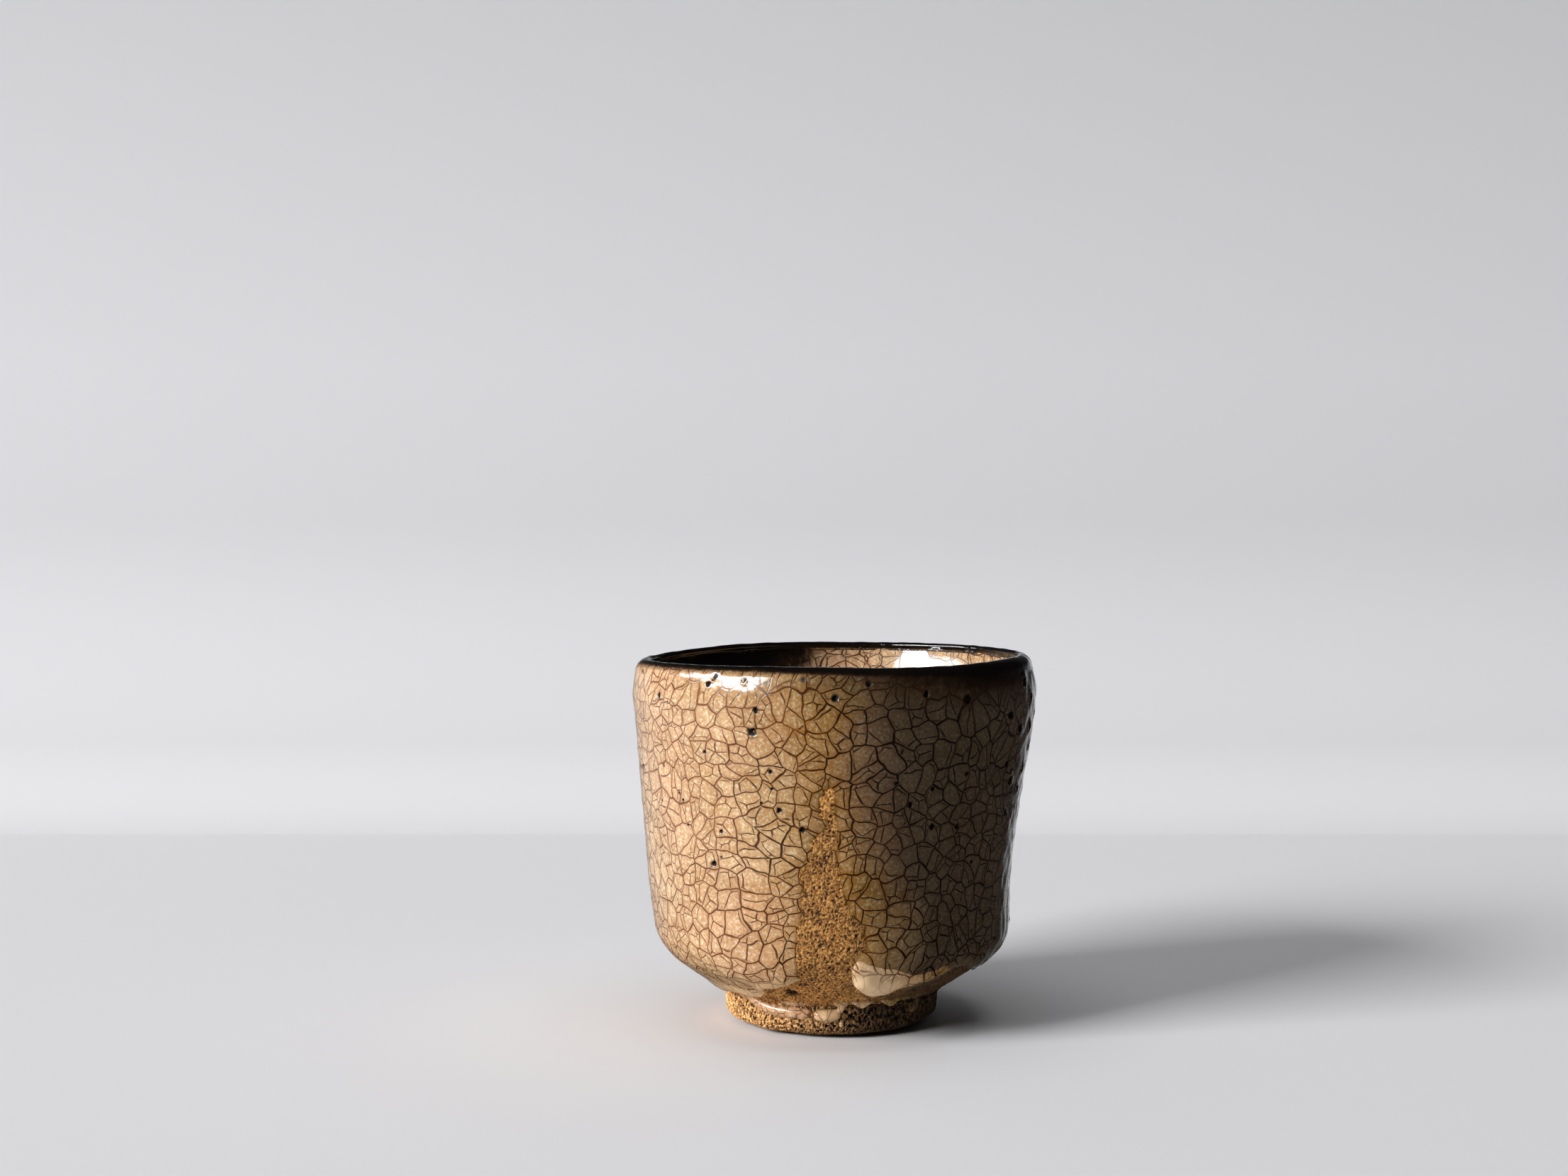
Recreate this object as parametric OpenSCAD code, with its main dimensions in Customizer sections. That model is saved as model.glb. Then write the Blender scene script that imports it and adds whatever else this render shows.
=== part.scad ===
// Tea bowl of half-cylinder form: a thrown stoneware cup on an attached foot ring, glazed inside and out,
// with a dark iron rim, a bare clay window in front and thick runs of glaze above the foot.
// It stands on z = 0 with its axis on Z, and the clay window faces -Y.

/* [Clay body] */
// Outside diameter of the clay wall under the lip
rim_diameter = 107; // [98:0.5:118]
// Height of the clay lip above the table
lip_height = 97.2; // [86:0.2:112]
// Thickness of the wall at the lip
lip_thickness = 4; // [3.6:0.1:5.5]
// Radius that rounds the outside of the lip
lip_outer_round = 2.3; // [1:0.1:2.5]
// Radius that rounds the inside of the lip
lip_inner_round = 1.1; // [0.5:0.1:1.3]
// Height below the lip at which the wall starts to lean in
shoulder_drop = 9; // [7:0.5:20]
// Outside diameter of the clay at the hip, where the wall turns in under the bowl
hip_diameter = 93.2; // [84:0.2:102]
// Height of the hip corner above the table
hip_height = 21.2; // [18:0.1:28]
// Radius that rounds the hip
hip_round = 12; // [6:0.5:18]
// Thickness of the wall above the hip
wall_thickness = 5; // [4:0.1:7]
// Thickness of the floor above the foot ring
floor_thickness = 7; // [5:0.1:10]
// Radius that rounds the inside corner between wall and floor
bowl_round = 20; // [10:0.5:22]
// Diameter of the shallow tea pool in the floor
pool_diameter = 40; // [24:1:44]
// Depth of the tea pool
pool_depth = 1.2; // [0.6:0.1:2]
// Width of the slope at the edge of the tea pool
pool_slope = 9; // [4:0.5:11]
// Height of the dome turned into the base inside the foot ring
base_dome = 1.2; // [0.5:0.1:2]

/* [Foot ring] */
// Outside diameter of the foot ring
foot_diameter = 58.8; // [50:0.2:66]
// Height of the foot ring
foot_height = 7.4; // [6:0.1:10]
// Width of the ring from its outside to its inside
foot_width = 8; // [6:0.1:11]
// Radius that rounds the outside of the ring at the table
foot_base_round = 2.6; // [1:0.1:3.2]
// Radius that rounds the outside of the ring at the joint
foot_top_round = 1.6; // [0.8:0.1:2.4]
// Radius that rounds the inside of the ring at the table
foot_inner_round = 1.5; // [0.6:0.1:2.2]

/* [Glaze] */
// Thickness of the glaze outside
glaze_thickness = 0.8; // [0.5:0.05:1.2]
// Thickness of the glaze inside
lining_thickness = 0.7; // [0.4:0.05:1.2]
// Thickness of the iron glaze over the lip
rim_glaze_thickness = 0.8; // [0.5:0.05:1.2]
// Depth of the dark rim band down the outside
rim_band_outside = 3.2; // [2.6:0.1:6.5]
// Depth of the dark rim band down the inside
rim_band_inside = 3; // [2:0.1:12]
// Height of the plain lower edge of the glaze above the table
glaze_line = 17; // [15:0.1:21]
// Lowest reach of the glaze lobes above the top of the foot ring
lobe_clearance = 1.4; // [0.6:0.1:2.5]
// Radius of a middling glaze lobe
lobe_radius = 10; // [8:0.1:11]
// Height of the lobes' centres above the plain edge
lobe_rise = 2.4; // [1.5:0.1:3.5]

/* [Clay window] */
// Height of the window's tip above the table
window_top = 68; // [56:0.5:80]
// Height of the corner on the window's left edge
window_left_knee = 47; // [40:0.5:52]
// Height of the corner on the window's right edge
window_right_knee = 33; // [28:0.5:38]
// Reach of the window to the left of the bowl's front line
window_left = 9.6; // [6:0.1:14]
// Reach of the window to the right of the bowl's front line
window_right = 6.6; // [3:0.1:10]
// Width of the window just under its tip
window_tip_width = 3.6; // [2:0.1:6]
// Shift of the tip to the left of the bowl's front line
window_tip_shift = 2.2; // [0:0.1:4]

/* [Runs of glaze] */
// Radius of the largest bead in the fat drip
drip_radius = 5.2; // [4:0.1:6]
// How far the drip stands out from the clay
drip_proud = 2.3; // [1.4:0.1:3]
// Height of the drip's top above the plain edge of the glaze
drip_rise = 8.4; // [6:0.1:11]
// How far the drip's lowest bead lies below the plain edge
drip_hang = 0.4; // [0:0.1:1.5]
// Radius of the roll along the glaze edge
roll_radius = 2.2; // [1.6:0.1:2.8]
// How far the roll stands out from the clay
roll_proud = 1.3; // [0.9:0.1:1.8]
// How far the roll lies below the plain edge of the glaze
roll_hang = 1.2; // [0.6:0.1:2]
// Radius of the largest bead at the joint of the foot
bead_radius = 3.4; // [2.4:0.1:4]
// How far the beads stand out from the joint
bead_proud = 1.2; // [0.7:0.1:1.6]
// Radius of the streak along the joint of the foot
streak_radius = 1.7; // [1.2:0.1:2.2]
// Height of the streak above the joint of the foot
streak_rise = 0.6; // [0.2:0.1:1]

/* [Hidden] */
$fn = 96;
arc_steps = 12;
// share of the shorter leg that a rounded corner may use up
leg_share = 0.96;

// Sizes that follow from the values above
foot_radius = foot_diameter / 2;
foot_inner_radius = foot_radius - foot_width;
seat_radius = foot_radius - foot_top_round;
rim_radius = rim_diameter / 2;
hip_radius = hip_diameter / 2;
floor_height = foot_height + floor_thickness;
pool_radius = pool_diameter / 2;
lobe_low = foot_height + lobe_clearance;

// Glaze lobes: angle from the front, share of the middling radius
glaze_lobes = [
  [-21, 0.6], [-33, 0.65], [-57, 1.2], [-80, 1.3], [-103, 1.2], [-128, 0.9], [-150, 0.8],
  [-172, 1], [165, 0.8], [143, 1.1], [120, 0.9], [97, 0.8], [77, 0.7], [58, 0.65]
];
// The fat drip: angles of its top and bottom from the front, size of its top against its bottom
drip_from = 8;
drip_to = 14.5;
drip_taper = 0.58;
drip_steps = 5;
// The roll: angles of its ends from the front, size of its end beads against the roll
roll_from = 17;
roll_to = 34;
roll_end_share = 1.15;
// Beads at the joint: angle from the front, height above the joint and radius as shares of the largest bead
joint_beads = [[-4, 0.1, 1], [2.6, 0.65, 0.5], [11, 0.88, 0.56], [24, 0.7, 0.66], [33, 1.24, 0.58]];
// The streak: angles of its ends from the front, size of its end beads against the streak
streak_from = -46;
streak_to = -14;
streak_end_share = 1.12;

// Path helpers; a path runs up the outside of the clay, over the lip and down the inside
function unit(v) = v / norm(v);
function right_of(v) = unit([v.y, -v.x]);
function reversed(path) = [for (i = [len(path) - 1 : -1 : 0]) path[i]];
function radius_at(path, z) = lookup(z, [for (p = path) [p.y, p.x]]);
function point_at(path, z) = [radius_at(path, z), z];

// Arc that rounds the corner at b between the legs to a and c, limited by the shorter leg
function corner_arc(a, b, c, radius) =
  let (u = unit(a - b), v = unit(c - b))
  let (half = acos(u * v) / 2)
  let (r = min(radius, leg_share * min(norm(a - b), norm(c - b)) * tan(half)))
  let (centre = b + unit(u + v) * r / sin(half))
  let (from = b + u * r / tan(half) - centre)
  let (start = atan2(from.y, from.x))
  let (side = sign(u.x * v.y - u.y * v.x))
  let (turn = -side * (180 - 2 * half))
  [for (i = [0 : arc_steps]) centre + r * [cos(start + turn * i / arc_steps), sin(start + turn * i / arc_steps)]];

// Path moved to its right by a thickness
function moved(path, thickness) = [
  for (i = [0 : len(path) - 1])
    let (before = path[max(i - 1, 0)], after = path[min(i + 1, len(path) - 1)])
    path[i] + thickness * right_of(after - before)
];
function skin(path, thickness) = concat(path, reversed(moved(path, thickness)));

// Clay outline
seat = [seat_radius, foot_height];
hip = [hip_radius, hip_height];
shoulder = [rim_radius, lip_height - shoulder_drop];
lip_outside = [rim_radius, lip_height];
lip_inside = [rim_radius - lip_thickness, lip_height];
bowl_corner = [hip_radius - wall_thickness, floor_height];
pool_edge = [pool_radius, floor_height];
pool_floor = [pool_radius - pool_slope, floor_height - pool_depth];
pool_centre = [0, floor_height - pool_depth];

outer_path = concat(
  [seat],
  corner_arc(seat, hip, shoulder, hip_round),
  [shoulder]
);
lip_path = concat(
  corner_arc(shoulder, lip_outside, lip_inside, lip_outer_round),
  corner_arc(lip_outside, lip_inside, bowl_corner, lip_inner_round)
);
inner_path = concat(
  corner_arc(lip_inside, bowl_corner, pool_edge, bowl_round),
  [pool_edge, pool_floor, pool_centre]
);
wall_outside = concat(outer_path, [lip_path[0]]);
wall_inside = concat([lip_path[len(lip_path) - 1]], inner_path);
base_path = [[0, foot_height + base_dome], [foot_inner_radius, foot_height]];

// Glaze paths along the clay
rim_low_outside = lip_height - rim_band_outside;
rim_low_inside = lip_height - rim_band_inside;
function coat_path(low) = concat(
  [point_at(wall_outside, low)],
  [for (p = wall_outside) if (p.y > low && p.y < rim_low_outside) p],
  [point_at(wall_outside, rim_low_outside)]
);
rim_path = concat(
  [point_at(wall_outside, rim_low_outside)],
  lip_path,
  [point_at(wall_inside, rim_low_inside)]
);
lining_path = concat([point_at(wall_inside, rim_low_inside)], inner_path);

// Puts its children on the outside of the clay at an angle from the front
module on_clay(angle, z, sink) {
  rotate([0, 0, angle - 90]) translate([radius_at(wall_outside, z) - sink, 0, z]) children();
}

// Puts its children at the joint of body and foot ring
module on_joint(angle, rise, sink) {
  rotate([0, 0, angle - 90])
    translate([radius_at(wall_outside, foot_height + rise) - sink, 0, foot_height + rise]) children();
}

// Round bar bent about the bowl's axis from one angle to another, with a bead at each end
module bent_bar(from, to, r, z, bar_radius, end_share) {
  rotate([0, 0, from - 90]) rotate_extrude(angle = to - from) translate([r, z]) circle(r = bar_radius);
  for (angle = [from, to])
    rotate([0, 0, angle - 90]) translate([r, 0, z]) sphere(r = bar_radius * end_share);
}

module window_cutter() {
  tip_left = -window_tip_shift - window_tip_width / 2;
  tip_right = -window_tip_shift + window_tip_width / 2;
  neck = window_top - window_tip_width;
  rotate([90, 0, 0]) linear_extrude(height = rim_diameter)
    polygon([
      [-window_tip_shift, window_top], [tip_left, neck], [-window_left, window_left_knee], [-window_left, 0],
      [window_right, 0], [window_right, window_right_knee], [tip_right, window_left_knee], [tip_right, neck]
    ]);
}

// Everything inside the outer face of the clay, for cutting what lies on that face
module clay_outside() {
  rotate_extrude() polygon(concat([[0, foot_height]], wall_outside, [[0, lip_path[0].y]]));
}

module drip_solid() {
  for (i = [0 : drip_steps]) {
    share = i / drip_steps;
    angle = drip_from + (drip_to - drip_from) * share;
    rise = drip_rise - (drip_rise + drip_hang) * share;
    size = drip_taper + (1 - drip_taper) * share;
    on_clay(angle, glaze_line + rise, (drip_radius - drip_proud) * size) sphere(r = drip_radius * size);
  }
  roll_height = glaze_line - roll_hang;
  roll_r = radius_at(wall_outside, roll_height) - roll_radius + roll_proud;
  bent_bar(roll_from, roll_to, roll_r, roll_height, roll_radius, roll_end_share);
}

module beads_solid() {
  for (b = joint_beads)
    on_joint(b[0], bead_radius * b[1], (bead_radius - bead_proud) * b[2]) sphere(r = bead_radius * b[2]);
}

module streak_solid() {
  streak_r = radius_at(wall_outside, foot_height + streak_rise);
  bent_bar(streak_from, streak_to, streak_r, foot_height + streak_rise, streak_radius, streak_end_share);
}

module clay_body() {
  color("#8f6a3f")
    rotate_extrude() polygon(concat(base_path, outer_path, lip_path, inner_path));
}

module foot_ring() {
  base_outside = [foot_radius, 0];
  base_inside = [foot_inner_radius, 0];
  top_outside = [foot_radius, foot_height];
  top_inside = [foot_inner_radius, foot_height];
  color("#9a7444")
    rotate_extrude() polygon(concat(
      corner_arc(top_inside, base_inside, base_outside, foot_inner_round),
      corner_arc(base_inside, base_outside, top_outside, foot_base_round),
      corner_arc(base_outside, top_outside, top_inside, foot_top_round),
      [top_inside]
    ));
}

module inner_glaze() {
  color("#c2a272")
    rotate_extrude() polygon(skin(lining_path, lining_thickness));
}

module outer_glaze() {
  color("#d0ab75")
    difference() {
      intersection() {
        rotate_extrude() polygon(skin(coat_path(lobe_low), glaze_thickness));
        union() {
          translate([0, 0, glaze_line]) cylinder(h = lip_height, r = rim_diameter);
          for (b = glaze_lobes) on_clay(b[0], glaze_line + lobe_rise, 0) sphere(r = lobe_radius * b[1]);
        }
      }
      window_cutter();
      drip_solid();
    }
}

module rim_glaze() {
  color("#21150d")
    rotate_extrude() polygon(skin(rim_path, rim_glaze_thickness));
}

module glaze_drip() {
  color("#e6d6ae")
    difference() {
      drip_solid();
      clay_outside();
    }
}

module foot_beads() {
  color("#dcc99c")
    difference() {
      beads_solid();
      clay_outside();
      foot_ring();
    }
}

module foot_streak() {
  color("#cfba8c")
    difference() {
      streak_solid();
      clay_outside();
      foot_ring();
    }
}

clay_body();
foot_ring();
inner_glaze();
outer_glaze();
rim_glaze();
glaze_drip();
foot_beads();
foot_streak();
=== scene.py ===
import bisect
import math
import random
from functools import partial

import bmesh
import bpy
from mathutils import Matrix, Vector, kdtree, noise


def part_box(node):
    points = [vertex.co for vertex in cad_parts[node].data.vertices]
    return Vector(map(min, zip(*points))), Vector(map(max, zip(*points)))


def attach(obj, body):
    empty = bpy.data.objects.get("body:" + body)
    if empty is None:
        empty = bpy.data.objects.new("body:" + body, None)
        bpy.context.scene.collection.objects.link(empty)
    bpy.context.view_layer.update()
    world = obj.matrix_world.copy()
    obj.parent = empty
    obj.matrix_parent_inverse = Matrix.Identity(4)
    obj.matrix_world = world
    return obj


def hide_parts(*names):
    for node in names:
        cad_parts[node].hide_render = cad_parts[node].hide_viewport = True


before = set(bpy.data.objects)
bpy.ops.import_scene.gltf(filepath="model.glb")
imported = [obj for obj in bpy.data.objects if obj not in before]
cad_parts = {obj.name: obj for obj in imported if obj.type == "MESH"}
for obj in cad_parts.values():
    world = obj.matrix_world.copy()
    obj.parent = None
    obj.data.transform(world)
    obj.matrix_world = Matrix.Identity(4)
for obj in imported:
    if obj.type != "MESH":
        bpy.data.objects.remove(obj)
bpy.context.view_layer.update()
mm = 0.001
stage = bpy.context.scene
print("frame loaded")

# Sizes of the turned bowl in millimetres; what the frame shows is read from the frame
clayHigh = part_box("clay_body")[1] / mm
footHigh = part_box("foot_ring")[1] / mm
bowl = {
    "rimRadius": round(clayHigh.x, 1),
    "lipHeight": round(clayHigh.z, 1),
    "lipThickness": 4.0,
    "lipOuterRound": 2.3,
    "lipInnerRound": 1.5,
    "shoulderDrop": 9.0,
    "hipRadius": 46.6,
    "hipHeight": 21.2,
    "hipRound": 12.0,
    "wallThickness": 5.0,
    "floorHeight": 14.4,
    "bowlRound": 20.0,
    "poolRadius": 20.0,
    "poolSlope": 9.0,
    "poolDepth": 1.2,
    "baseDome": 1.2,
    "footRadius": round(footHigh.x, 1),
    "footHeight": round(footHigh.z, 1),
    "footWidth": 8.0,
    "footTopRound": 1.6,
    "footInnerRound": 1.5,
    "pathSpacing": 0.4,
    "steps": 330,  # segments round the bowl on every glazed face, so the layers nest
}

# How the hand-made bowl departs from the turned one: angles in degrees from the front, the rest in mm
handMade = {
    "pushes": [  # angle, its spread, height, its reach, how far the wall moves out
        (84, 46, 43, 16, -1.4),
        (84, 40, 63, 11, -0.8),
        (-85, 50, 37, 13, 0.7),
        (80, 60, 80, 14, 0.4),
        (-80, 50, 88, 12, -0.4),
        (178, 55, 58, 20, -0.7),
        (132, 35, 30, 12, 0.5),
        (-38, 46, 98.5, 5.5, -0.7),
    ],
    "flats": [  # angle, slope below level, depth that the trimming tool took
        (44, 40, 0.55), (66, 34, 0.8), (90, 42, 0.9), (116, 36, 0.6), (150, 40, 0.7), (-150, 38, 0.5),
    ],
    "lipTilt": 0.6,
    "lipWaves": [(2, 0.4, 0.22), (3, 1.9, 0.2), (5, 0.7, 0.1)],  # waves per turn, phase, height
    "lipLean": 0.9,  # how far the outside curls in below the lip
    "lipFlare": 1.1,  # how far the inside opens there
    "lipLeanHeight": 9.0,
    "jointLift": 0.5,  # how far the underside lies above the turned one where it meets the foot
    "jointLiftFront": 0.5,
    "jointFront": (20, 50),  # angle of the extra lift, and its spread
    "jointFrom": 4.0,
    "jointOver": 4.0,
    "jointFade": 8.0,
    "jointInside": 5.0,
    "lipFrom": 62.0,  # height where the tilt and the waves of the lip begin
    "lipOver": 35.0,
    "lump": 0.32,
    "lumpSize": 23.0,
    "ripple": 0.05,
    "rippleSize": 7.0,
    "rippleSway": 1.4,
    "settle": 14.0,  # height over which the shape comes in, since the foot itself stays true
    "flatShare": 0.85,
}


def ease(x):
    x = min(max(x, 0.0), 1.0)
    return x * x * (3 - 2 * x)


def bell(x, reach):
    return math.exp(-(x / reach) ** 2)


def angleOf(co):  # from the front, to the right
    return math.atan2(co.x, -co.y)


def onRing(angle, r, z):
    return Vector((r * math.sin(angle), -r * math.cos(angle), z))


def turnBetween(angle, degrees):
    return (math.degrees(angle) - degrees + 180) % 360 - 180


def curveThrough(points):
    xs = [p[0] for p in points]
    ys = [p[1] for p in points]

    def value(x):
        k = min(max(bisect.bisect_right(xs, x), 1), len(xs) - 1)
        return ys[k - 1] + (ys[k] - ys[k - 1]) * ease((x - xs[k - 1]) / max(xs[k] - xs[k - 1], 1e-6))

    return value


# Paths in the plane of radius and height
def roundedPath(corners, arcSteps=14):
    path = []
    for i, (r, z, radius) in enumerate(corners):
        corner = Vector((r, z))
        if not radius:
            path.append(corner)
            continue
        toBefore = (Vector(corners[i - 1][:2]) - corner).normalized()
        toAfter = (Vector(corners[i + 1][:2]) - corner).normalized()
        half = toBefore.angle(toAfter) / 2
        centre = corner + (toBefore + toAfter).normalized() * radius / math.sin(half)
        start = corner + toBefore * radius / math.tan(half) - centre
        side = math.copysign(1, toBefore.x * toAfter.y - toBefore.y * toAfter.x)
        turn = -side * (math.pi - 2 * half)
        for k in range(arcSteps + 1):
            path.append(centre + Matrix.Rotation(turn * k / arcSteps, 2) @ start)
    return path


def evenPath(points, spacing):
    lengths = [0.0]
    for a, b in zip(points, points[1:]):
        lengths.append(lengths[-1] + (b - a).length)
    count = max(2, round(lengths[-1] / spacing))
    path = []
    for i in range(count + 1):
        at = lengths[-1] * i / count
        k = min(max(bisect.bisect_left(lengths, at), 1), len(points) - 1)
        path.append(points[k - 1].lerp(points[k], (at - lengths[k - 1]) / (lengths[k] - lengths[k - 1])))
    return path


seat = (bowl["footRadius"] - bowl["footTopRound"], bowl["footHeight"], 0)
hip = (bowl["hipRadius"], bowl["hipHeight"], bowl["hipRound"])
shoulder = (bowl["rimRadius"], bowl["lipHeight"] - bowl["shoulderDrop"], 0)
lipOutside = (bowl["rimRadius"], bowl["lipHeight"], bowl["lipOuterRound"])
lipInside = (bowl["rimRadius"] - bowl["lipThickness"], bowl["lipHeight"], bowl["lipInnerRound"])
bowlCorner = (bowl["hipRadius"] - bowl["wallThickness"], bowl["floorHeight"], bowl["bowlRound"])
poolEdge = (bowl["poolRadius"], bowl["floorHeight"], 0)
poolFloor = (bowl["poolRadius"] - bowl["poolSlope"], bowl["floorHeight"] - bowl["poolDepth"], 0)
poolCentre = (0.0, bowl["floorHeight"] - bowl["poolDepth"], 0)
clayPath = roundedPath([seat, hip, shoulder, lipOutside, lipInside, bowlCorner, poolEdge, poolFloor,
                        poolCentre])
crest = max(range(len(clayPath)), key=lambda i: clayPath[i].y)
outside = evenPath(clayPath[:crest + 1], bowl["pathSpacing"])
inside = evenPath(clayPath[crest:], bowl["pathSpacing"])
outsideHeights = [p.y for p in outside]
outsideSpacing = (outside[1] - outside[0]).length


def onOutside(z):  # position along the outside path, as a whole number and a share
    k = min(max(bisect.bisect_right(outsideHeights, z), 1), len(outside) - 1)
    share = (z - outsideHeights[k - 1]) / max(outsideHeights[k] - outsideHeights[k - 1], 1e-6)
    return k - 1, min(max(share, 0.0), 1.0)


def wallRadius(z):
    k, share = onOutside(z)
    return outside[k].x + (outside[k + 1].x - outside[k].x) * share


def wallArc(z):  # length along the clay from the foot
    k, share = onOutside(z)
    return (k + share) * outsideSpacing


def wallNormal(z):
    k = onOutside(z)[0]
    along = (outside[k + 1] - outside[k]).normalized()
    return Vector((along.y, -along.x))


def flatCuts():
    cuts = []
    for degrees, slope, depth in handMade["flats"]:
        angle = math.radians(degrees)
        down = math.radians(slope)
        normal = onRing(angle, math.cos(down), -math.sin(down))
        reach = max(normal.dot(onRing(angle, p.x, p.y)) for p in outside)
        cuts.append((normal, reach - depth))
    return cuts


hipFlats = flatCuts()


def handShape(co):
    angle = angleOf(co)
    z = co.z
    span = math.hypot(co.x, co.y)
    settled = ease((z - bowl["footHeight"]) / handMade["settle"])
    out = handMade["lump"] * noise.noise(co / handMade["lumpSize"]) * settled
    swing = math.tau * z / handMade["rippleSize"] + handMade["rippleSway"] * math.sin(angle)
    out += handMade["ripple"] * math.sin(swing) * settled
    for degrees, spread, height, reach, push in handMade["pushes"]:
        out += push * bell(turnBetween(angle, degrees), spread) * bell(z - height, reach) * settled
    leanFrom = bowl["lipHeight"] - handMade["lipLeanHeight"]
    outer = ease((span - wallRadius(z)) / bowl["lipThickness"] + 1)
    lean = handMade["lipFlare"] * (1 - outer) - handMade["lipLean"] * outer
    out += lean * ease((z - leanFrom) / (handMade["lipLeanHeight"] - 1))
    up = handMade["lipTilt"] * math.sin(angle)
    up += sum(height * math.cos(waves * angle + phase) for waves, phase, height in handMade["lipWaves"])
    up *= ease((z - handMade["lipFrom"]) / handMade["lipOver"])
    atJoint = ease((z - handMade["jointFrom"]) / handMade["jointOver"])
    atJoint *= 1 - ease((z - bowl["footHeight"]) / handMade["jointFade"])
    atJoint *= ease((span - bowl["footRadius"] + bowl["footWidth"]) / handMade["jointInside"])
    front, spread = handMade["jointFront"]
    atFront = bell(turnBetween(angle, front), spread)
    up += atJoint * (handMade["jointLift"] + handMade["jointLiftFront"] * atFront)
    shaped = co + onRing(angle, out, up)
    for normal, reach in hipFlats:
        past = normal.dot(shaped) - reach
        if past > 0:
            shaped -= normal * past * handMade["flatShare"]
    return shaped


# Mesh helpers; meshes are drawn in millimetres and brought to metres at the end
def spinPath(path, steps, closed=False):
    bm = bmesh.new()
    ring = [bm.verts.new((p.x, 0, p.y)) for p in path]
    edges = [bm.edges.new(pair) for pair in zip(ring, ring[1:])]
    if closed:
        edges.append(bm.edges.new((ring[-1], ring[0])))
    bmesh.ops.spin(bm, geom=ring + edges, cent=(0, 0, 0), axis=(0, 0, 1), dvec=(0, 0, 0),
                   angle=math.tau, steps=steps, use_merge=True, use_duplicate=False)
    bmesh.ops.remove_doubles(bm, verts=bm.verts, dist=1e-3)
    bmesh.ops.recalc_face_normals(bm, faces=bm.faces)
    return bm


def turnFaces(bm, towardsAxis):
    lean = sum(f.normal.x * f.calc_center_median().x + f.normal.y * f.calc_center_median().y for f in bm.faces)
    if (lean < 0) != towardsAxis:
        bmesh.ops.reverse_faces(bm, faces=bm.faces)


def refine(bm, faces, cuts):
    edges = list({edge for face in faces for edge in face.edges})
    if edges:
        bmesh.ops.subdivide_edges(bm, edges=edges, cuts=cuts, use_grid_fill=True)


def addLayers(bm, *names):  # values that the materials read
    return {name: bm.verts.layers.float.new(name) for name in names}


def shapeAndPush(bm, pushes):  # shaped by hand first, then pushed out along the normals
    for vert in bm.verts:
        vert.co = handShape(vert.co)
    bm.normal_update()
    for vert, push in zip(bm.verts, pushes):
        vert.co += vert.normal * push


def placeMesh(bm, name, material):
    for face in bm.faces:
        face.smooth = True
    mesh = bpy.data.meshes.new(name)
    bm.to_mesh(mesh)
    bm.free()
    mesh.materials.append(material)
    placed = bpy.data.objects.new(name, mesh)
    stage.collection.objects.link(placed)
    return placed


def finishPiece(bm, name, node, material, wall=0.0):
    bmesh.ops.scale(bm, vec=(mm, mm, mm), verts=bm.verts)
    for edge in bm.edges:
        edge.smooth = not edge.is_boundary
    piece = placeMesh(bm, name, material)
    if wall:
        shell = piece.modifiers.new("glazeWall", "SOLIDIFY")
        shell.thickness = wall * mm
        shell.offset = -1
    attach(piece, "root")
    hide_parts(node)
    print(name, len(piece.data.polygons), "faces")
    return piece


# Materials
def hexColour(text):
    channels = [int(text[i:i + 2], 16) / 255 for i in (1, 3, 5)]
    return [c / 12.92 if c <= 0.04045 else ((c + 0.055) / 1.055) ** 2.4 for c in channels] + [1.0]


def addNode(tree, kind, links=(), out=0, **settings):  # gives one output of the node, or all of them
    node = tree.nodes.new("ShaderNode" + kind)
    for key, value in settings.items():
        setattr(node, key, value)
    for socket, value in links.items() if isinstance(links, dict) else enumerate(links):
        if isinstance(value, bpy.types.NodeSocket):
            tree.links.new(value, node.inputs[socket])
        else:
            node.inputs[socket].default_value = value
    return node.outputs if out is None else node.outputs[out]


def newMaterial(name):
    material = bpy.data.materials.new(name)
    material.use_nodes = True
    tree = material.node_tree
    return material, tree, tree.nodes["Principled BSDF"], partial(addNode, tree)


# Every coat is what decides where it lies, the span of that with the shares at its ends, and a colour
def layOver(add, skin, coats):
    for source, span, colour in coats:
        share = add("MapRange", (source, *span))
        skin = add("Mix", {0: share, 6: skin, 7: colour}, data_type="RGBA", out=2)
    return skin


# Feldspar glaze, fired glossy over stoneware and stained along its crazing. It gives a creamy skin with
# pale specks, a net of brown lines in two sizes and small dark pinholes.
glazeLook = {
    "cream": "#D1AD7C", "ochre": "#B68B51", "blush": "#D4A475", "speck": "#F2DFB4", "stain": "#A0662C",
    "lineDark": "#40240D", "linePale": "#7C4A1F", "thickCream": "#F0CE9A", "thin": "#86591F",
    "ironBrown": "#2E1E12", "ironBlack": "#0E0A08", "pit": "#0B0806",
    "cells": (4.8, 5.2),  # mm across, for the long cracks and for the short ones that split their cells
    "halfWidths": (0.27, 0.23),  # mm
    "strength": (1.0, 0.95),
    "randomness": 0.88,
    "wander": ((22, 8.0, 0.0), (6, 3.0, 1.5)),  # size, reach in mm and detail of the cracks' bends
    "seamSway": 0.5,
    "splitFrom": 0.04,  # share of the cells that stay whole
    "patternRadius": 50.0,  # mm, where the unrolled pattern is true to size
    "floorRadius": 0.0,  # mm, inside which the pattern lies flat
    "byHeight": False,
    "thickness": 0.0,
    "smoke": 0.13,  # what is left of the colour where the painted shade is darkest
    "smokeFrom": -8.6,  # mm to the right, with a seventh of the height
    "smokeTo": 36.4,
    "smokeRise": 0.14,
    "smokeDrift": 22.0,
    "smokeHue": 0.495,
    "roughness": 0.08,
}


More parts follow.
